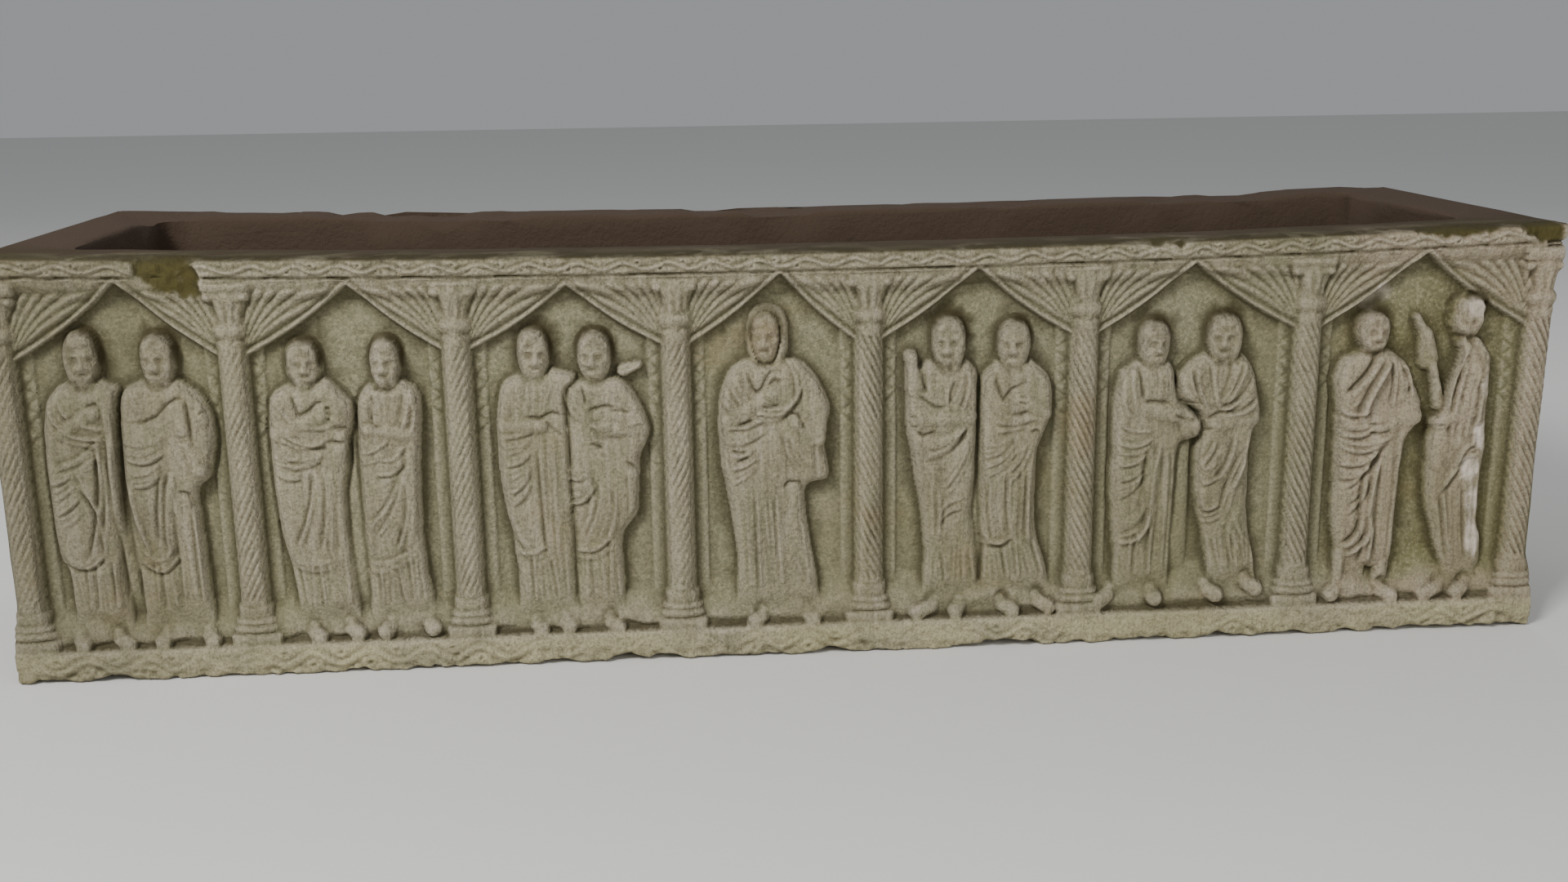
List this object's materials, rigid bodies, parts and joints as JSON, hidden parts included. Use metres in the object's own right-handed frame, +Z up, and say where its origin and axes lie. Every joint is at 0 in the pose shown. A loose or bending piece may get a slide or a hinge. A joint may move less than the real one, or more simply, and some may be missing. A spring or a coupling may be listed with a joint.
{
  "type": "stone sarcophagus chest",
  "caption": "Long hollow stone chest, open on top, its front carved with robed figures under gabled arches between spiral columns.",
  "frame": {"origin": "middle of the underside's bounding box, on the surface that the chest stands on", "axes": "+X along the length, towards the right end as one faces the carving; -Y out of the carved front; +Z up"},
  "size_m": [2.19, 0.65, 0.6],
  "materials": {
    "weathered_stone": "matte"
  },
  "bodies": {
    "root": {"chest": "weathered_stone"}
  },
  "joints": []
}
